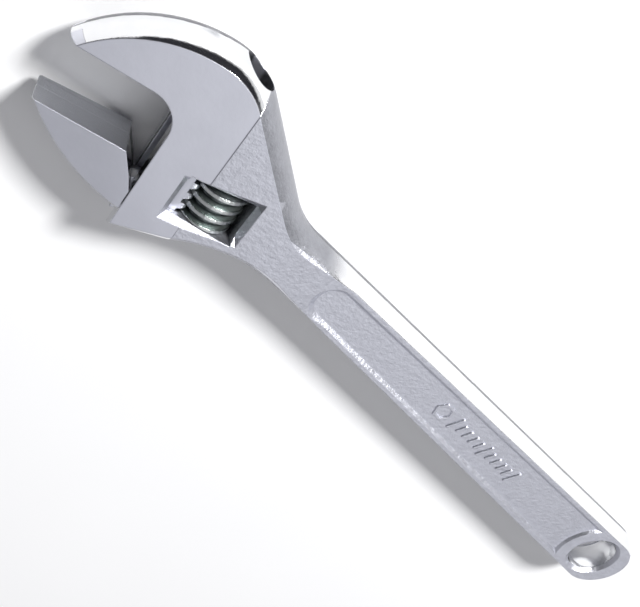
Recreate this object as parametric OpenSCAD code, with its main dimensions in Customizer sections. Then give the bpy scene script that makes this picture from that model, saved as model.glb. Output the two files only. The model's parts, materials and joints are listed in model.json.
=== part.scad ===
// Adjustable wrench with a sliding jaw, a screw to set it and a hanging hole.
// The origin is the middle of the hanging hole. +X runs up the handle to the
// head and +Z comes out of the broad face. The head has its own local frame:
// X towards the jaw tips, Y along the slide, starting at the fixed jaw's face.

/* [Handle] */
// Distance from the hanging hole to the head's own origin, along the handle
head_x = 211; // [190:1:235]
// Sideways distance from the handle's centre line to the head's own origin
head_y = -10; // [-12:0.5:-8]
// Angle between the handle and the jaws, in degrees
head_angle = 17.5; // [15:0.5:20]
// Handle width across the hanging hole
handle_w = 24.4; // [22:0.2:28]
// Handle width at the neck, 150 mm from the hanging hole
neck_w = 17.4; // [15:0.2:20]
// Handle thickness
handle_t = 11; // [9:0.5:12.5]
// Hanging hole radius
hole_r = 8; // [6:0.25:9]
// Chamfer round the hanging hole
hole_chamfer = 1.2; // [0.5:0.1:1.6]
// How far the round end sits beyond the hanging hole
end_shift = 4; // [2:0.5:6]
// Depth of the recess in each side of the handle
panel_d = 0.9; // [0.5:0.1:1.5]
// Rim left round the recess
panel_rim = 3; // [2:0.25:4]

/* [Head] */
// Head thickness at the screw
head_t = 15.6; // [15.4:0.2:18]
// Thickness at the jaw tips
tip_t = 10.6; // [9:0.2:12]
// Jaw length, from the slide to the tips
jaw_l = 28; // [24:0.5:32]
// Length of the slide, from the fixed jaw's face
slide_l = 38; // [36:0.5:42]
// Radius of the fixed jaw's outer edge
jaw_r = 36.7; // [34:0.5:40]
// Width of the fixed jaw at the top of the shoulder
jaw_w = 16.1; // [15:0.5:18]
// Radius of the shoulder behind the fixed jaw
shoulder_r = 19.3; // [18:0.5:21]
// Crown radius of the head's rim
crown_r = 10; // [9:0.5:14]

/* [Moving jaw] */
// Opening between the jaws as drawn
opening = 16; // [2:0.5:26]
// Length of the moving jaw's foot on the slide
foot_l = 8; // [6:0.5:10]
// Width of the moving jaw along the slide
jaw_back = 17; // [15:0.5:20]
// Radius of the moving jaw's back
back_r = 52; // [48:0.5:60]
// Thickness of the web between the jaw and its rack
web_t = 5; // [4:0.25:6]

/* [Screw and rack] */
// Pitch of the screw and of the rack
pitch = 3.2; // [2.8:0.1:3.6]
// Outer radius of the screw
worm_r = 7.1; // [6.6:0.1:7.4]
// Thread depth
tooth_h = 2; // [1.6:0.1:2.2]
// Length of the window that holds the screw
window_l = 12.2; // [11.4:0.2:13]
// Distance from the slide down to the rack's centre line
rack_drop = 10.5; // [9.5:0.25:11.5]
// Radius of the rack
rack_r = 4.5; // [4:0.1:4.8]
// Length of the rack
rack_l = 31; // [29:0.5:33]
// Radius of the pin that the screw turns on
pin_r = 2.2; // [1.8:0.1:2.5]

/* [Hidden] */
$fn = 96;

// Radial clearance of turning and sliding fits
fit = 0.05;
// Gap between parts that pass each other without touching
gap = 0.3;
// Radial overlap of the pin's pressed ends
press = 0.01;
// Extra length that lets a cutter pass a surface
over = 1;

// Stock left round the outline before its rim is cut
stock = 2;
// Reach of a cutter past the edge that it cuts, sideways and up or down
reach = 9;
half_h = 9;
// One of two cutters that meet on a smooth curve goes this much deeper, and
// the deeper one runs on past the meeting point by this length or angle
nip = 0.02;
run_on = 2;
turn_on = 4;

// Handle outline: half width falls evenly from the hole to the neck
neck_x = 150;
taper = (handle_w - neck_w) / 2 / neck_x;
taper_a = atan(taper);
end_r = (handle_w / 2 + taper * end_shift) * cos(taper_a);
function edge_y(x) = handle_w / 2 - taper * x;

// Recess in the handle: where it ends near the neck, and its rim at the hole
panel_x = head_x - 66;
panel_ring = 5.3;

// Places along the head's own X where its thickness starts to change
ground_x = -14;
back_x = -40;
thin_x = -62;

// Points and directions of the head seen from the handle's frame
function to_world(p) = [
    head_x + p[0] * cos(head_angle) - p[1] * sin(head_angle),
    head_y + p[0] * sin(head_angle) + p[1] * cos(head_angle)
];

// Arc centres of the head's rim, in the head's frame
top_x = -3;
jaw_sweep = 70;
jaw_c = [top_x, jaw_r - jaw_w];
shoulder_c = [top_x, shoulder_r - jaw_w];

// Straight flank from the shoulder down to the neck
flank_a = 224;
flank_n = flank_a + head_angle;
flank_c = to_world(shoulder_c);
flank_d = flank_c[0] * cos(flank_n) + flank_c[1] * sin(flank_n) + shoulder_r;

// Neck blend on the flank's side, tangent to the handle's edge and the flank
neck_r = 25;
side_n = taper_a - 90;
side_d = handle_w / 2 * cos(taper_a);
blend_det = cos(side_n) * sin(flank_n) - sin(side_n) * cos(flank_n);
blend_off = neck_r - nip;
blend_c = [
    ((side_d + blend_off) * sin(flank_n) - (flank_d + blend_off) * sin(side_n)) / blend_det,
    ((flank_d + blend_off) * cos(side_n) - (side_d + blend_off) * cos(flank_n)) / blend_det
];

blend_x = blend_c[0] - neck_r * cos(side_n);
flank_l = norm(flank_c - blend_c + (shoulder_r + neck_r) * [cos(flank_n), sin(flank_n)]);

// Belly blend on the screw's other side, tangent to the handle's edge
belly_r = 38;
belly_sweep = 50;
belly_x = head_x - 51;
belly_off = belly_r - nip;
belly_c = [belly_x + belly_off * sin(taper_a), edge_y(belly_x) + belly_off * cos(taper_a)];
// Straight part of the belly, from the slide's end
belly_slope = 13;
belly_l = 30;

// Curve between the fixed jaw's face and the slide
throat_r = 7.5;

// The screw, its window and its pin, in the head's frame
side_gap = 0.5;
core_r = worm_r - tooth_h;
rack_flat = -rack_drop - 0.7 * rack_r;
worm_x = rack_flat - gap - core_r;
rack_root = worm_x + worm_r + gap;
worm_l = window_l - 2 * gap;
window_y = 13.3;
worm_y = window_y + window_l / 2;
window_back = worm_x - worm_r - side_gap;
window_front = 1 - rack_drop;

// Bevel round the window: its outer edges, depth and the slant of its ends
bevel_front = 2.7 - rack_drop;
bevel_back = window_back - 1.2;
bevel_d = 2.6;
bevel_l = window_l + 1.8;
bevel_skew = 8;

// Thread: width halfway up a flank, its slope, and the angle it climbs at
flank_gap = 0.2;
thread_w = pitch / 2 - flank_gap;
groove_w = pitch / 2 + flank_gap;
flare = 0.25;
lead = atan(pitch / (2 * PI * (worm_r - tooth_h / 2)));
function flank(w, d) = w / 2 + flare * (1 - 2 * d / tooth_h);

// Sliding jaw, in the head's frame: its face ends at heel_x and its inner side
// slants down to the slide from there
jaw_y = opening;
back_y = opening + jaw_back;
heel_x = 5.6;
heel_y = back_y - foot_l;
heel_low = [2.2, heel_y - 3.7];
tip_w = 2;
// The web stays this far inside the foot, and its slot starts behind the throat
web_in = 1;
slot_y = 4;
// Its curved back starts at back_x1 on a short straight edge
back_x0 = -10;
back_x1 = 1;
back_c = [back_x0, back_y - sqrt(pow(back_r, 2) - pow(back_x1 - back_x0, 2))];
back_from = 35;
back_sweep = 50;
foot_edge = 2;

// Pin: plain shank, slotted head at the belly's edge
pin_head_r = 3.2;
pin_head_l = 4.5;
pin_in = 6;
pin_out = 32;

// Spring round the pin, in the screw's counterbore
spring_wire = 0.35;
spring_r = 2.95;
spring_d = 5;
counter_r = 3.6;
spring_turns = 5;

module at_head() {
    translate([head_x, head_y, 0]) rotate([0, 0, head_angle]) children();
}

// What a crowned rim takes off, seen in section with the rim at zero
module crown(r) {
    difference() {
        translate([-reach / 2, -half_h]) square([1.5 * reach, 2 * half_h]);
        translate([-r, 0]) circle(r = r);
    }
}

// Crown cut along a convex arc of the given radius
module crown_arc(c, radius, from, sweep, r) {
    translate([c[0], c[1], 0]) rotate([0, 0, from]) rotate_extrude(angle = sweep)
        translate([radius, 0]) crown(r);
}

// Crown cut along a concave arc, whose centre lies outside the metal
module crown_hollow(c, radius, from, sweep, r) {
    translate([c[0], c[1], 0]) rotate([0, 0, from]) rotate_extrude(angle = sweep)
        translate([radius, 0]) mirror([1, 0]) crown(r);
}

// Crown cut along a straight edge that starts at p with its normal at angle n
module crown_line(p, n, from, to, r) {
    translate([p[0], p[1], 0]) rotate([0, 0, n]) translate([0, to, 0])
        rotate([90, 0, 0]) linear_extrude(to - from) crown(r);
}

// Outline with stock left on every crowned edge
module stock_2d() {
    polygon([
        [-end_shift - end_r - stock, -end_r - stock],
        [neck_x, -edge_y(neck_x) - stock],
        [blend_x, -edge_y(neck_x) - stock],
        to_world([shoulder_c[0] - shoulder_r, -jaw_w]),
        to_world([top_x, -jaw_w - stock]),
        for (a = [285 : 20 : 325])
        to_world(jaw_c + (jaw_r + stock) * [cos(a), sin(a)]),
        to_world([jaw_l + stock, 0]),
        to_world([0, throat_r]),
        to_world([0, slide_l]),
        to_world([0, slide_l + stock]),
        to_world([ground_x, slide_l + stock]),
        [belly_x, edge_y(belly_x) + stock],
        [-end_shift - end_r - stock, end_r + stock]
    ]);
}

// Everything beyond the jaw face, the throat's curve and the slide
module mouth_2d() {
    translate([throat_r, throat_r]) circle(r = throat_r);
    translate([throat_r, 0]) square([jaw_l, 2 * throat_r]);
    translate([0, throat_r]) square([jaw_l + reach, slide_l]);
}

// Thickness of the whole wrench, seen along the slide
module thickness() {
    end_x = -head_x - 60;
    wide = head_x + 40;
    h = head_t / 2;
    t = handle_t / 2;
    e = tip_t / 2;
    translate([0, wide / 2, 0]) rotate([90, 0, 0]) linear_extrude(wide) polygon([
        [end_x, -t], [thin_x, -t], [back_x, -h], [ground_x, -h], [jaw_l, -e],
        [jaw_l + reach, -e], [jaw_l + reach, e], [jaw_l, e], [ground_x, h],
        [back_x, h], [thin_x, t], [end_x, t]
    ]);
}

// Recess in the upper face of the handle. Its walls slope at 45 degrees
module panel() {
    top = handle_t / 2;
    floor_z = top - panel_d;
    end_w = (edge_y(panel_x) - panel_rim) * cos(taper_a) + nip;
    difference() {
        union() {
            intersection_for(side = [0, 1]) mirror([0, side, 0]) rotate([0, 0, -taper_a])
                translate([0, (handle_w / 2 - panel_rim) * cos(taper_a), 0])
                rotate([90, 0, 90]) linear_extrude((panel_x + end_w * sin(taper_a)) / cos(taper_a))
                polygon([
                    [-panel_d, floor_z], [over, top + over], [over, top + 2 * over],
                    [-2 * handle_w, top + 2 * over], [-2 * handle_w, floor_z]
                ]);
            translate([panel_x, 0, floor_z]) rotate([0, 0, -90 - turn_on])
                rotate_extrude(angle = 180 + 2 * turn_on) polygon([
                    [0, 0], [end_w - panel_d, 0], [end_w + over, panel_d + over], [0, panel_d + over]
                ]);
        }
        translate([0, 0, floor_z - over]) cylinder(
            r1 = hole_r + panel_ring + panel_d + over, r2 = hole_r + panel_ring - over,
            h = panel_d + 2 * over);
    }
}

// Sloping sides round both mouths of the window
module window_bevels() {
    h = head_t / 2;
    l = bevel_l / 2;
    for (side = [0, 1]) mirror([0, 0, side]) intersection() {
        translate([0, slide_l, 0]) rotate([90, 0, 0]) linear_extrude(slide_l) polygon([
            [-rack_drop, rack_r], [bevel_front, h], [bevel_front, h + over],
            [bevel_back, h + over], [bevel_back, h], [window_back + 0.2, h - bevel_d]
        ]);
        translate([(bevel_front + bevel_back) / 2, worm_y, 0]) rotate([0, 0, bevel_skew])
            translate([-window_l, 0, 0]) rotate([90, 0, 90]) linear_extrude(2 * window_l)
            polygon([
                [l - bevel_d, h - bevel_d], [l, h], [l, h + over],
                [-l, h + over], [-l, h], [bevel_d - l, h - bevel_d]
            ]);
    }
}

module wrench_body() {
    color([0.75, 0.76, 0.80]) difference() {
        intersection() {
            translate([0, 0, -half_h]) linear_extrude(2 * half_h) stock_2d();
            at_head() thickness();
        }
        // Rim of the handle
        crown_arc([-end_shift, 0], end_r + nip, 90 - taper_a, 180 + 2 * taper_a, crown_r);
        crown_line([0, handle_w / 2], 90 - taper_a, -belly_x / cos(taper_a), end_shift + run_on, crown_r);
        crown_line([0, -handle_w / 2], side_n, -end_shift - run_on, blend_x / cos(taper_a), crown_r);
        crown_hollow(blend_c, neck_r, flank_n - 180 - turn_on, side_n - flank_n + 360 + 2 * turn_on,
            crown_r);
        crown_hollow(belly_c, belly_r, 270 - taper_a - turn_on, belly_sweep + turn_on, crown_r);
        at_head() {
            // Rim of the head
            crown_line(shoulder_c + shoulder_r * [cos(flank_a), sin(flank_a)], flank_a,
                -flank_l, run_on, crown_r);
            crown_arc(shoulder_c, shoulder_r + nip, flank_a, 270 - flank_a, crown_r);
            crown_arc(jaw_c, jaw_r, 270 - turn_on, jaw_sweep + turn_on, crown_r);
            crown_line([0, slide_l], 90 + belly_slope, -over, belly_l, crown_r);
            // Jaw mouth and slide
            translate([0, 0, -half_h]) linear_extrude(2 * half_h) mouth_2d();
            // Bore and slot for the rack
            translate([-rack_drop, slide_l + reach, 0]) rotate([90, 0, 0])
                cylinder(r = rack_r + fit, h = slide_l + 4 * reach);
            translate([-rack_drop, slot_y, -web_t / 2 - gap])
                cube([rack_drop + over, slide_l + reach, web_t + 2 * gap]);
            // Window for the screw
            translate([window_back, window_y, -half_h])
                cube([window_front - window_back, window_l, 2 * half_h]);
            window_bevels();
            // Hole for the pin, wider where its head screws in
            translate([worm_x, pin_out + reach, 0]) rotate([90, 0, 0])
                cylinder(r = pin_r - press, h = pin_out + reach - pin_in);
            translate([worm_x, pin_out + reach, 0]) rotate([90, 0, 0])
                cylinder(r = pin_head_r - press, h = reach + pin_head_l);
        }
        cylinder(r = hole_r, h = 2 * half_h, center = true);
        for (side = [0, 1]) mirror([0, 0, side]) {
            translate([0, 0, handle_t / 2 - hole_chamfer])
                cylinder(r1 = hole_r, r2 = hole_r + 2 * hole_chamfer, h = 2 * hole_chamfer);
            panel();
        }
    }
}

// Jaw plate seen from the broad side, with stock left on its back
module jaw_2d() {
    polygon([
        [heel_x, jaw_y], [jaw_l, jaw_y], [jaw_l, jaw_y + tip_w + stock],
        [jaw_l / 2, back_y - 1], [foot_l, back_y + stock], [gap, back_y + stock],
        [gap, heel_y], heel_low
    ]);
}

module movable_jaw() {
    color([0.75, 0.76, 0.80]) at_head() {
        difference() {
            intersection() {
                translate([0, 0, -half_h]) linear_extrude(2 * half_h) jaw_2d();
                thickness();
            }
            crown_arc(back_c, back_r, back_from, back_sweep, crown_r);
            translate([gap - over, back_y, -half_h]) cube([foot_edge + over, reach, 2 * half_h]);
        }
        // Web that joins the jaw to its rack
        translate([0, 0, -web_t / 2]) linear_extrude(web_t) polygon([
            [-rack_drop, heel_y - 4 * web_in], [gap + over, heel_y - web_in],
            [gap + over, back_y - web_in], [-rack_drop, back_y - web_in]
        ]);
        difference() {
            translate([-rack_drop, back_y, 0]) rotate([90, 0, 0])
                cylinder(r = rack_r, h = rack_l);
            // Flat along the toothed side
            translate([rack_flat - reach, back_y - rack_l - over, -half_h])
                cube([reach, rack_l + 2 * over, 2 * half_h]);
            // Grooves in mesh with the screw
            first = floor((back_y - rack_l - worm_y) / pitch);
            last = ceil((back_y - worm_y) / pitch);
            for (n = [first : last]) translate([0, worm_y + n * pitch, 0])
                rotate([lead, 0, 0]) translate([0, 0, -rack_r - over])
                linear_extrude(2 * (rack_r + over)) polygon([
                    [rack_flat - over, -flank(groove_w, gap - over)],
                    [rack_root, -flank(groove_w, tooth_h + gap)],
                    [rack_root, flank(groove_w, tooth_h + gap)],
                    [rack_flat - over, flank(groove_w, gap - over)]
                ]);
        }
    }
}

// Right-hand helical ridge along Z, longer than the screw at both ends
module thread() {
    per_turn = 32;
    turns = 2 * ceil(worm_l / pitch / 2) + 2;
    n = turns * per_turn;
    inner = core_r - gap;
    function ring(i) = [
        for (p = [[inner, -1], [worm_r, -1], [worm_r, 1], [inner, 1]])
        [
            p[0] * cos(i * 360 / per_turn),
            p[0] * sin(i * 360 / per_turn),
            pitch * (i / per_turn - turns / 2) + p[1] * flank(thread_w, p[0] - core_r)
        ]
    ];
    pts = [for (i = [0 : n]) each ring(i)];
    sides = [
        for (i = [0 : n - 1], j = [0 : 3])
        [4 * i + j, 4 * i + (j + 1) % 4, 4 * (i + 1) + (j + 1) % 4, 4 * (i + 1) + j]
    ];
    ends = [[3, 2, 1, 0], [4 * n, 4 * n + 1, 4 * n + 2, 4 * n + 3]];
    polyhedron(points = pts, faces = concat(sides, ends), convexity = 10);
}

module adjusting_worm() {
    color([0.55, 0.56, 0.54]) at_head() translate([worm_x, worm_y, 0]) rotate([-90, 0, 0])
        difference() {
            union() {
                cylinder(r = core_r, h = worm_l, center = true);
                intersection() {
                    thread();
                    cylinder(r = worm_r + over, h = worm_l, center = true);
                }
            }
            cylinder(r = pin_r + fit, h = worm_l + 2 * over, center = true);
            translate([0, 0, -worm_l / 2 - over]) cylinder(r = counter_r, h = spring_d + over);
        }
}

module worm_pin() {
    slot_w = 1;
    slot_d = 1.4;
    color([0.62, 0.62, 0.63]) at_head() translate([worm_x, pin_out, 0]) rotate([90, 0, 0])
        difference() {
            union() {
                cylinder(r = pin_r, h = pin_out - pin_in);
                cylinder(r = pin_head_r, h = pin_head_l);
            }
            translate([-pin_head_r - over, -slot_w / 2, -over])
                cube([2 * (pin_head_r + over), slot_w, slot_d + over]);
        }
}

// Coil along Z, from its first end to its last
module coil(radius, wire, height, turns) {
    per_turn = 20;
    sides = 6;
    n = turns * per_turn;
    pts = [
        for (i = [0 : n], j = [0 : sides - 1])
        let (a = i * 360 / per_turn, b = j * 360 / sides, r = radius + wire * cos(b))
        [r * cos(a), r * sin(a), wire + (height - 2 * wire) * i / n + wire * sin(b)]
    ];
    walls = [
        for (i = [0 : n - 1], j = [0 : sides - 1])
        let (k = (j + 1) % sides)
        [sides * i + j, sides * (i + 1) + j, sides * (i + 1) + k, sides * i + k]
    ];
    first = [for (j = [0 : sides - 1]) j];
    last = [for (j = [sides - 1 : -1 : 0]) sides * n + j];
    polyhedron(points = pts, faces = concat(walls, [first, last]), convexity = 10);
}

module worm_spring() {
    color([0.45, 0.46, 0.48]) at_head() translate([worm_x, window_y - 2 * press, 0])
        rotate([-90, 0, 0]) coil(spring_r, spring_wire, spring_d, spring_turns);
}

wrench_body();
movable_jaw();
adjusting_worm();
worm_pin();
worm_spring();
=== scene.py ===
"""Adjustable wrench lying on a pale surface under soft studio light.

Lengths are in metres, in the part's own frame. Each material finds its own
regions from the position at rest, so they ride along when the jaw moves.
"""

import json
import math
from types import SimpleNamespace

import bmesh
import bpy
from mathutils import Matrix, Vector


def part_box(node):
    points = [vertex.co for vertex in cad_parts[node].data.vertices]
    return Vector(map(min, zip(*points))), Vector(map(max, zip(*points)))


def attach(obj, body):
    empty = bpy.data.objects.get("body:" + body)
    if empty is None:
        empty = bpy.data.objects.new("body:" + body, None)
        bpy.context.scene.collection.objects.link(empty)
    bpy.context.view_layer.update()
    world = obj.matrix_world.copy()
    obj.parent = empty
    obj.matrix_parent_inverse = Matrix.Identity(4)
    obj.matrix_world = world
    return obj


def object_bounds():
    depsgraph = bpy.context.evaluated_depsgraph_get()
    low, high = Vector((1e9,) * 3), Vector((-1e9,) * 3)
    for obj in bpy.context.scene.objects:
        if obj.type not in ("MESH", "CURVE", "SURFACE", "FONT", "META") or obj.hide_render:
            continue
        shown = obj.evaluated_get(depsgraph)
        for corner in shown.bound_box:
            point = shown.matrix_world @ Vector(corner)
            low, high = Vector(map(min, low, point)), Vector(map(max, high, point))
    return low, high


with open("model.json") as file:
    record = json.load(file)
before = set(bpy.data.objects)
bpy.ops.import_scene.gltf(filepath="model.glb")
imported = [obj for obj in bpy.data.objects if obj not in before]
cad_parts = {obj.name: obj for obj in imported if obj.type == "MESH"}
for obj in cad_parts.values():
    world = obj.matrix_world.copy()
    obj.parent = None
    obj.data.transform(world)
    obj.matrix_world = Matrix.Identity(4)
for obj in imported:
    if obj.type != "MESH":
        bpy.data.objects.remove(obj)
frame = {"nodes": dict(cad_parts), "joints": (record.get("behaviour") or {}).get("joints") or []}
BOUNDS_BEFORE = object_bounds()

ORIGIN = (0, 0, 0)
ALONG_HANDLE = (1, 0, 0)
ACROSS_HANDLE = (0, 1, 0)
OUT_OF_FACE = (0, 0, 1)

# Head: the jaw slides along SLIDE, and the jaws point along REACH
SLIDE = Vector(next(j for j in frame["joints"] if j["name"] == "jaw_slide")["axis"])
REACH = SLIDE.cross(Vector(OUT_OF_FACE))


def middle(name):
    low, high = (Vector(v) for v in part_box(name))
    return (low + high) / 2


WORM = middle("adjusting_worm")

# Where each finish of the forging begins, and over what length it fades.
# The ground face of the head ends this far ahead of the screw's axis
GROUND_AHEAD = 0.0051
GROUND_FADE = 0.0001
# The dark seam there: half its width, half its darkest part, and the length along
# the slide over which it begins
SEAM_W = 0.00028
SEAM_CORE = 0.00008
SEAM_FADE = 0.001
# The handle's edges are polished up to here, and the head's rim is again
HANDLE_END = 0.158
HANDLE_FADE = 0.01
# The inner faces of the jaws start this far ahead of the screw's axis
MOUTH_AHEAD = 0.0195
MOUTH_FADE = 0.002
# Round the window the edges aren't polished: half its span ahead and along the slide
WINDOW_AHEAD = 0.0125
WINDOW_ALONG = 0.0115
WINDOW_FADE = 0.0004
# The chamfer of the hanging hole isn't polished, but the wall of the hole is
HOLE_EDGE = 0.0105
HOLE_EDGE_FADE = 0.0005
HOLE_WALL = 0.0081
HOLE_WALL_FADE = 0.0003
# Half width of the handle's recessed side at the hole, and how fast it narrows
PANEL_EDGE = 0.0100
PANEL_FADE = 0.0002
TAPER = 0.0233
# The forging's ragged parting line runs round the lower rim. Its dark band is partly painted shade,
# darkening the lower rim where it faces the floor it rests on
PARTING_SHADE_Z = -0.0026
PARTING_SHADE_W = 0.0018
PARTING_SHADE_FADE = 0.0005
PARTING_SHADE_RAGGED = 0.0006
PARTING_SHADE_DULLS = 0.8
# Share of a normal along an axis from which a surface counts as facing it
FACES_UP = (0.86, 0.95)
PANEL_FACES_UP = (0.1, 0.2)
FACES_SLIDE = (0.97, 0.995)


# Node helpers


def new_material(name):
    mat = bpy.data.materials.new(name)
    mat.use_nodes = True
    return mat, mat.node_tree, mat.node_tree.nodes["Principled BSDF"]


def plug(tree, socket, value):
    if isinstance(value, bpy.types.NodeSocket):
        tree.links.new(value, socket)
    else:
        socket.default_value = value


def calc(tree, operation, a, b=0.0):
    """One Math node."""
    node = tree.nodes.new("ShaderNodeMath")
    node.operation = operation
    plug(tree, node.inputs[0], a)
    plug(tree, node.inputs[1], b)
    return node.outputs[0]


def vector(tree, operation, a, b=ORIGIN):
    """One Vector Math node: its vector, or its value for a dot product or a length."""
    node = tree.nodes.new("ShaderNodeVectorMath")
    node.operation = operation
    plug(tree, node.inputs[0], a)
    plug(tree, node.inputs[1], b)
    return node.outputs["Value" if operation in ("DOT_PRODUCT", "LENGTH") else "Vector"]


def ramp(tree, value, start, end):
    """Smooth step from 0 to 1 while the value runs from start to end."""
    node = tree.nodes.new("ShaderNodeMapRange")
    node.interpolation_type = "SMOOTHSTEP"
    plug(tree, node.inputs["Value"], value)
    node.inputs["From Min"].default_value = start
    node.inputs["From Max"].default_value = end
    return node.outputs["Result"]


def mix(tree, factor, a, b):
    """Mix of two numbers."""
    node = tree.nodes.new("ShaderNodeMix")
    plug(tree, node.inputs[0], factor)
    plug(tree, node.inputs[2], a)
    plug(tree, node.inputs[3], b)
    return node.outputs[0]


def mix_colour(tree, factor, a, b):
    """Mix of two colours, each a socket or three numbers."""
    node = tree.nodes.new("ShaderNodeMix")
    node.data_type = "RGBA"
    plug(tree, node.inputs[0], factor)
    plug(tree, node.inputs[6], a if isinstance(a, bpy.types.NodeSocket) else (*a, 1))
    plug(tree, node.inputs[7], b if isinstance(b, bpy.types.NodeSocket) else (*b, 1))
    return node.outputs[2]


def shades(tree, factor, tint, dark, light):
    """Mix of two shades of one tint, each given as a share of it."""
    return mix_colour(tree, factor, [c * dark for c in tint], [c * light for c in tint])


def noise(tree, at, per_metre, detail=3.0, rough=0.55):
    """Cloudy noise from 0 to 1 with about this many blobs in a metre."""
    node = tree.nodes.new("ShaderNodeTexNoise")
    plug(tree, node.inputs["Vector"], at)
    node.inputs["Scale"].default_value = per_metre
    node.inputs["Detail"].default_value = detail
    node.inputs["Roughness"].default_value = rough
    return node.outputs["Fac"]


def place(tree):
    """Position and normal of the surface at rest, in the part's own frame."""
    node = tree.nodes.new("ShaderNodeTexCoord")
    return node.outputs["Object"], node.outputs["Normal"]


def along(tree, at, start, direction):
    """How far a place lies from start along a direction."""
    return vector(tree, "DOT_PRODUCT", vector(tree, "SUBTRACT", at, start), direction)


def from_axis(tree, at, start, direction):
    """Distance from the line through start along a direction."""
    arm = vector(tree, "CROSS_PRODUCT", vector(tree, "SUBTRACT", at, start), direction)
    return vector(tree, "LENGTH", arm)


def magnitude(tree, value):
    """A number without its sign."""
    return calc(tree, "ABSOLUTE", value)


def rounded(tree, radius):
    """Normal that rolls over each edge, as a worn or plated edge does."""
    node = tree.nodes.new("ShaderNodeBevel")
    node.samples = 6
    node.inputs["Radius"].default_value = radius
    return node.outputs["Normal"]


def bump(tree, height, distance, normal):
    node = tree.nodes.new("ShaderNodeBump")
    plug(tree, node.inputs["Height"], height)
    plug(tree, node.inputs["Distance"], distance)
    plug(tree, node.inputs["Normal"], normal)
    return node.outputs["Normal"]


def metal(tree, bsdf, colour, rough, surface):
    """Plug a metal's colour, roughness and normal into its shader."""
    plug(tree, bsdf.inputs["Base Color"], colour)
    plug(tree, bsdf.inputs["Roughness"], rough)
    plug(tree, bsdf.inputs["Normal"], surface)
    bsdf.inputs["Metallic"].default_value = 1.0


# The plated forging


def forging_textures(tree, at):
    """Noises that the regions, colours and bumps of the forging share."""
    stroke_stretch = (1.0, 1.0, 60.0)
    stretched = vector(tree, "MULTIPLY", at, stroke_stretch)
    return SimpleNamespace(
        grain=noise(tree, at, per_metre=850, detail=4, rough=0.62),
        blotch=noise(tree, at, per_metre=90),
        mottle=noise(tree, at, per_metre=420, detail=4, rough=0.65),
        ripple=noise(tree, at, per_metre=55, detail=1),
        strokes=noise(tree, stretched, per_metre=700, detail=2),
    )


def forging_regions(tree, at, normal, mottle):
    """Masks from 0 to 1, one for each differently finished region."""
    up_handle = along(tree, at, ORIGIN, ALONG_HANDLE)
    ahead = along(tree, at, WORM, REACH)
    down = along(tree, at, WORM, SLIDE)
    from_hole = from_axis(tree, at, ORIGIN, OUT_OF_FACE)

    # Broad faces, with the sloping walls of the handle's recess
    level = magnitude(tree, vector(tree, "DOT_PRODUCT", normal, OUT_OF_FACE))
    from_middle = magnitude(tree, along(tree, at, ORIGIN, ACROSS_HANDLE))
    panel_y = calc(tree, "ADD", from_middle, calc(tree, "MULTIPLY", up_handle, TAPER))
    panel = ramp(tree, panel_y, PANEL_EDGE, PANEL_EDGE - PANEL_FADE)
    panel_wall = calc(tree, "MULTIPLY", panel, ramp(tree, level, *PANEL_FACES_UP))
    flat = calc(tree, "MAXIMUM", ramp(tree, level, *FACES_UP), panel_wall)

    # Ground part of the head, and the seam where it begins
    ground = ramp(tree, ahead, GROUND_AHEAD - GROUND_FADE, GROUND_AHEAD + GROUND_FADE)
    from_seam = magnitude(tree, calc(tree, "SUBTRACT", ahead, GROUND_AHEAD))
    seam = calc(tree, "MULTIPLY", ramp(tree, from_seam, SEAM_W, SEAM_CORE),
                ramp(tree, down, 0.0, -SEAM_FADE))

    # Dull places: round the window, the hole's chamfer and the parting line, whose dark band on the
    # lower rim is partly painted shade
    window = calc(tree, "MULTIPLY",
                  ramp(tree, magnitude(tree, ahead), WINDOW_AHEAD, WINDOW_AHEAD - WINDOW_FADE),
                  ramp(tree, magnitude(tree, down), WINDOW_ALONG, WINDOW_ALONG - WINDOW_FADE))
    chamfer = calc(tree, "MULTIPLY",
                   ramp(tree, from_hole, HOLE_EDGE, HOLE_EDGE - HOLE_EDGE_FADE),
                   ramp(tree, from_hole, HOLE_WALL, HOLE_WALL + HOLE_WALL_FADE))
    from_parting_shade = magnitude(tree, along(tree, at, (0, 0, PARTING_SHADE_Z), OUT_OF_FACE))
    ragged = calc(tree, "ADD", from_parting_shade, calc(tree, "MULTIPLY", mottle, PARTING_SHADE_RAGGED))
    parting_shade = calc(tree, "MULTIPLY", ramp(tree, ragged, PARTING_SHADE_W + PARTING_SHADE_FADE, PARTING_SHADE_W),
                   ramp(tree, from_hole, HOLE_EDGE - HOLE_EDGE_FADE, HOLE_EDGE))
    dull = calc(tree, "MAXIMUM", calc(tree, "MAXIMUM", window, chamfer),
                calc(tree, "MULTIPLY", parting_shade, PARTING_SHADE_DULLS))

    # Polished rim of the head and of the handle
    handle = ramp(tree, up_handle, HANDLE_END, HANDLE_END - HANDLE_FADE)
    polished = calc(tree, "MULTIPLY", calc(tree, "MAXIMUM", ground, handle),
                    calc(tree, "SUBTRACT", 1.0, dull))

    # Faces that grip the nut
    across = magnitude(tree, vector(tree, "DOT_PRODUCT", normal, SLIDE))
    gripping = calc(tree, "MULTIPLY", ramp(tree, across, *FACES_SLIDE),
                    ramp(tree, ahead, MOUTH_AHEAD, MOUTH_AHEAD + MOUTH_FADE))
    return SimpleNamespace(flat=flat, ground=ground, seam=seam, window=window,
                           parting_shade=parting_shade, polished=polished, gripping=gripping)


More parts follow.
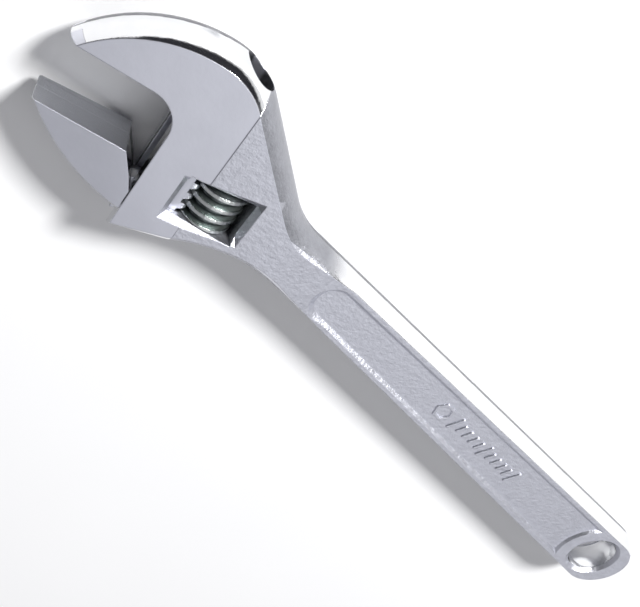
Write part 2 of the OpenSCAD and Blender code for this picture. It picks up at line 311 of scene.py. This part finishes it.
def forging_colour(tree, tint, texture, region):
    seam_colour = (0.30, 0.30, 0.34)
    seam_strength = 0.6
    polish_dark = (0.86, 0.87, 0.88)
    polish_light = (0.93, 0.93, 0.94)
    grip_colour = (0.56, 0.57, 0.60)

    ground_blotch = ramp(tree, texture.blotch, start=0.3, end=0.7)
    forged_mottle = ramp(tree, texture.mottle, start=0.35, end=0.7)
    polish_blotch = ramp(tree, texture.blotch, start=0.25, end=0.75)
    ground = shades(tree, ground_blotch, tint, dark=1.0, light=1.06)
    forged = shades(tree, forged_mottle, tint, dark=0.96, light=1.04)
    skin = mix_colour(tree, region.ground, forged, ground)
    skin = mix_colour(tree, calc(tree, "MULTIPLY", region.seam, seam_strength), skin, seam_colour)

    as_forged = shades(tree, texture.mottle, tint, dark=0.40, light=0.62)
    # Very dark band on the lower rim: partly the trimmed parting line, partly painted shade where
    # the lower rim faces the floor
    trimmed_and_shaded = shades(tree, texture.mottle, tint, dark=0.10, light=0.42)
    window = shades(tree, texture.mottle, tint, dark=0.46, light=0.80)
    rim = mix_colour(tree, polish_blotch, polish_dark, polish_light)
    rim = mix_colour(tree, region.polished, as_forged, rim)
    rim = mix_colour(tree, region.parting_shade, rim, trimmed_and_shaded)
    rim = mix_colour(tree, region.window, rim, window)

    colour = mix_colour(tree, region.flat, rim, skin)
    return mix_colour(tree, region.gripping, colour, grip_colour)


def forging_roughness(tree, texture, region):
    satin = mix(tree, texture.blotch, a=0.30, b=0.38)
    grainy = mix(tree, texture.mottle, a=0.30, b=0.46)
    polish = mix(tree, texture.blotch, a=0.04, b=0.11)
    window = mix(tree, texture.mottle, a=0.42, b=0.58)
    grip = mix(tree, texture.strokes, a=0.22, b=0.40)

    rim = mix(tree, region.polished, grainy, polish)
    rim = mix(tree, region.window, rim, window)
    rough = mix(tree, region.flat, rim, mix(tree, region.ground, grainy, satin))
    return mix(tree, region.gripping, rough, grip)


def forging_surface(tree, edge, texture, region):
    """Normal: soft edges, forged grain, slow ripples and grinding strokes."""
    grain_height = 0.00020
    ripple_height = 0.0004
    stroke_height = 0.00004
    most_grain = 1.1
    flat_ripple = 0.3

    smooth = mix(tree, region.flat, region.polished, region.ground)
    grain = calc(tree, "MULTIPLY", texture.grain, calc(tree, "SUBTRACT", most_grain, smooth))
    calm = calc(tree, "MULTIPLY", texture.ripple, flat_ripple)
    strokes = calc(tree, "MULTIPLY", texture.strokes, region.gripping)
    surface = bump(tree, grain, grain_height, rounded(tree, edge))
    surface = bump(tree, mix(tree, region.flat, texture.ripple, calm), ripple_height, surface)
    return bump(tree, strokes, stroke_height, surface)


def chrome(name, tint, edge):
    """Plated forging: satin ground face, grainy forged face, polished rim and
    ground jaw faces. Its edges look rounded to the radius given as edge."""
    mat, tree, bsdf = new_material(name)
    at, normal = place(tree)
    texture = forging_textures(tree, at)
    region = forging_regions(tree, at, normal, texture.mottle)
    metal(tree, bsdf, forging_colour(tree, tint, texture, region),
          forging_roughness(tree, texture, region),
          forging_surface(tree, edge, texture, region))
    return mat


# The small parts and the floor


def zinc_screw():
    """Zinc plate on the thread: worn bright on the crests, darker in the root."""
    crest_from = 0.0062
    crest_r = 0.0071
    root_from = 0.0060
    root_r = 0.0051
    plate_dark = (0.46, 0.51, 0.50)
    plate_light = (0.60, 0.65, 0.63)
    root_colour = (0.20, 0.22, 0.22)
    crest_colour = (0.74, 0.77, 0.75)
    crest_rough = 0.2
    pit_height = 0.00006
    pit_scale = (4.0, 4.0, 4.0)
    edge = 0.00025

    mat, tree, bsdf = new_material("zinc_screw")
    at, _ = place(tree)
    radius = from_axis(tree, at, WORM, SLIDE)
    crest = ramp(tree, radius, crest_from, crest_r)
    root = ramp(tree, radius, root_from, root_r)
    spots = noise(tree, at, per_metre=700, detail=4, rough=0.6)
    plate = mix_colour(tree, spots, plate_dark, plate_light)
    plate = mix_colour(tree, root, plate, root_colour)
    plate = mix_colour(tree, crest, plate, crest_colour)
    pits = noise(tree, vector(tree, "MULTIPLY", at, pit_scale), per_metre=600)
    rough = mix(tree, crest, mix(tree, spots, a=0.28, b=0.42), crest_rough)
    metal(tree, bsdf, plate, rough, bump(tree, pits, pit_height, rounded(tree, edge)))
    return mat


def turned_pin():
    """Zinc plated pin, dark with oil, with fine turned rings on its head."""
    ring_pitch = 0.00022
    ring_height = 0.00001
    edge = 0.0002
    dark = (0.13, 0.13, 0.13)
    light = (0.34, 0.34, 0.34)

    mat, tree, bsdf = new_material("zinc_pin")
    at, _ = place(tree)
    radius = from_axis(tree, at, WORM, SLIDE)
    rings = calc(tree, "SINE", calc(tree, "MULTIPLY", radius, 2 * math.pi / ring_pitch))
    spots = noise(tree, at, per_metre=900, detail=4, rough=0.6)
    metal(tree, bsdf, mix_colour(tree, spots, dark, light), mix(tree, spots, a=0.24, b=0.4),
          bump(tree, rings, ring_height, rounded(tree, edge)))
    return mat


def spring_steel():
    """Oiled spring wire with a little blue-black oxide."""
    spot_height = 0.00002
    edge = 0.0001
    dark = (0.20, 0.21, 0.24)
    light = (0.42, 0.43, 0.46)

    mat, tree, bsdf = new_material("spring_steel")
    at, _ = place(tree)
    spots = noise(tree, at, per_metre=1100)
    metal(tree, bsdf, mix_colour(tree, spots, dark, light), mix(tree, spots, a=0.25, b=0.42),
          bump(tree, spots, spot_height, rounded(tree, edge)))
    return mat


def paper():
    """Matt white sheet under the wrench."""
    dark = (0.90, 0.90, 0.90)
    light = (0.93, 0.93, 0.93)

    mat, tree, bsdf = new_material("studio_floor")
    at, _ = place(tree)
    cloud = noise(tree, at, per_metre=12, detail=2)
    plug(tree, bsdf.inputs["Base Color"], mix_colour(tree, cloud, dark, light))
    plug(tree, bsdf.inputs["Roughness"], mix(tree, cloud, a=0.85, b=0.95))
    bsdf.inputs["Specular IOR Level"].default_value = 0.1
    return mat


# Raised mark in the handle's recess: it stands on the panel, its foot sunk in

PANEL_Z = 0.0046
MARK_H = 0.0004
MARK_SINK = 0.0001
MARK_DRAFT = 0.00022
MARK_FROM = 0.054
MARK_TO = 0.096
NUT_SIDES = 6
NUT_R = 0.0034
NUT_WALL = 0.001
NUT_GAP = 0.003
BARS = 11
LONG_EVERY = 5
LONG_BAR = 0.0058
SHORT_BAR = 0.0036
BAR_W = 0.0009
BAR_LEAN = 0.25


def ring_prism(bm, centre, outer, inner, sides):
    """Flat-topped polygon ring with sloping walls."""
    top = MARK_H + MARK_SINK
    loops = []
    for radius, z in ((outer + MARK_DRAFT, 0), (outer, top), (inner, top), (inner - MARK_DRAFT, 0)):
        loops.append([
            bm.verts.new(centre + Vector((radius * math.cos(a), radius * math.sin(a), z)))
            for a in (2 * math.pi * i / sides for i in range(sides))
        ])
    for low, high in zip(loops, loops[1:] + loops[:1]):
        for i in range(sides):
            j = (i + 1) % sides
            bm.faces.new((low[i], low[j], high[j], high[i]))


def bar(bm, centre, length, width, lean):
    """Slanted bar with round ends and sloping walls."""
    steps = 6
    outline = []
    for end in (1, -1):
        for i in range(steps + 1):
            a = math.pi * i / steps - (0 if end > 0 else math.pi)
            outline.append((math.cos(a), end * (length - width) / 2, math.sin(a)))
    rows = []
    for half, z in ((width / 2 + MARK_DRAFT, 0), (width / 2, MARK_H + MARK_SINK)):
        row = []
        for c, mid, s in outline:
            y = mid + half * s
            row.append(bm.verts.new(centre + Vector((half * c + lean * y, y, z))))
        rows.append(row)
    count = len(outline)
    for i in range(count):
        j = (i + 1) % count
        bm.faces.new((rows[0][i], rows[0][j], rows[1][j], rows[1][i]))
    bm.faces.new(rows[1])
    bm.faces.new(list(reversed(rows[0])))


def add_mark(material):
    """Outline of a nut and a row of slanted bars, in place of the size lettering."""
    bm = bmesh.new()
    base = PANEL_Z - MARK_SINK
    ring_prism(bm, Vector((MARK_TO - NUT_R, 0, base)), NUT_R, NUT_R - NUT_WALL, NUT_SIDES)
    first = MARK_TO - 2 * NUT_R - NUT_GAP
    for i in range(BARS):
        x = first + (MARK_FROM - first) * i / (BARS - 1)
        length = LONG_BAR if i % LONG_EVERY == 0 else SHORT_BAR
        bar(bm, Vector((x, 0, base)), length, BAR_W, BAR_LEAN)
    bmesh.ops.recalc_face_normals(bm, faces=bm.faces)
    mesh = bpy.data.meshes.new("handle_mark")
    bm.to_mesh(mesh)
    bm.free()
    mark = bpy.data.objects.new("handle_mark", mesh)
    bpy.context.scene.collection.objects.link(mark)
    soften = mark.modifiers.new("soften", "BEVEL")
    soften.width = 0.00012
    soften.segments = 2
    soften.limit_method = "ANGLE"
    soften.angle_limit = math.radians(30)
    mesh.materials.append(material)
    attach(mark, "body")


# Stage, light and camera


def add_floor():
    size = 6
    middle_x = 0.1
    gap = 0.0002
    low = BOUNDS_BEFORE[0]
    bpy.ops.mesh.primitive_plane_add(size=size, location=(middle_x, 0, low[2] - gap))
    floor = bpy.context.object
    floor.name = "floor"
    floor.data.materials.append(paper())


def add_key():
    """Square softbox that throws the shadow towards +Y."""
    at = (0.10, -1.30, 0.95)
    aim = (0.12, 0, 0)
    data = bpy.data.lights.new("key", "AREA")
    data.shape = "SQUARE"
    data.size = 0.32
    data.energy = 36.0
    lamp = bpy.data.objects.new("key", data)
    lamp.location = at
    lamp.rotation_euler = (Vector(aim) - Vector(at)).to_track_quat("-Z", "Y").to_euler()
    bpy.context.scene.collection.objects.link(lamp)


def add_world():
    """Pale room: a soft ceiling on one side and a bright horizon. The dark other
    side shows in the polished rim as streaks."""
    ceiling_at = (-0.42, -0.02, 0.907)
    pale_side = (-0.6, 0.8, 0)
    zenith = (0.1, 0, 0.995)
    dark = (0.03, 0.03, 0.035)
    pale = (0.34, 0.34, 0.36)
    ceiling = (0.92, 0.925, 0.96)
    horizon = (0.85, 0.85, 0.86)

    world = bpy.data.worlds.new("world")
    bpy.context.scene.world = world
    world.use_nodes = True
    tree = world.node_tree
    back = tree.nodes["Background"]
    at = tree.nodes.new("ShaderNodeTexCoord").outputs["Generated"]
    glow = ramp(tree, vector(tree, "DOT_PRODUCT", at, ceiling_at), start=0.72, end=0.97)
    side = ramp(tree, vector(tree, "DOT_PRODUCT", at, pale_side), start=-0.3, end=0.3)
    above = ramp(tree, vector(tree, "DOT_PRODUCT", at, zenith), start=0.03, end=0.09)
    sky = mix_colour(tree, glow, mix_colour(tree, side, dark, pale), ceiling)
    plug(tree, back.inputs["Color"], mix_colour(tree, above, horizon, sky))
    back.inputs["Strength"].default_value = 1.0


def add_camera():
    """Camera at the photographed viewing angle, close over the jaws."""
    at = (0.2813, -0.0889, 0.1905)
    right = Vector((-0.60838, -0.79213, 0.04897)).normalized()
    up = Vector((0.57956, -0.48558, -0.65446))
    up = (up - right * up.dot(right)).normalized()
    data = bpy.data.cameras.new("camera")
    data.sensor_fit = "HORIZONTAL"
    data.sensor_width = 36.0
    data.lens = 54.4
    data.clip_start = 0.01
    data.dof.use_dof = False
    cam = bpy.data.objects.new("camera", data)
    bpy.context.scene.collection.objects.link(cam)
    turn = Matrix((right, up, right.cross(up))).transposed().to_4x4()
    cam.matrix_world = Matrix.Translation(at) @ turn
    bpy.context.scene.camera = cam


def dress(name, material):
    node = frame["nodes"][name]
    node.data.materials.clear()
    node.data.materials.append(material)


BODY_TINT = (0.72, 0.73, 0.79)
BODY_EDGE = 0.0004
# The movable jaw has the same plating as the body. Its tint is darker as painted shade, standing in
# for the light falling off over that jaw
JAW_SHADED_TINT = (0.63, 0.64, 0.695)
JAW_EDGE = 0.0003

forging = chrome("chrome_forging", BODY_TINT, BODY_EDGE)
dress("wrench_body", forging)
dress("movable_jaw", chrome("chrome_jaw", JAW_SHADED_TINT, JAW_EDGE))
dress("adjusting_worm", zinc_screw())
dress("worm_pin", turned_pin())
dress("worm_spring", spring_steel())
add_mark(forging)
add_floor()
add_world()
add_key()
add_camera()
bpy.context.scene.view_settings.view_transform = "Standard"
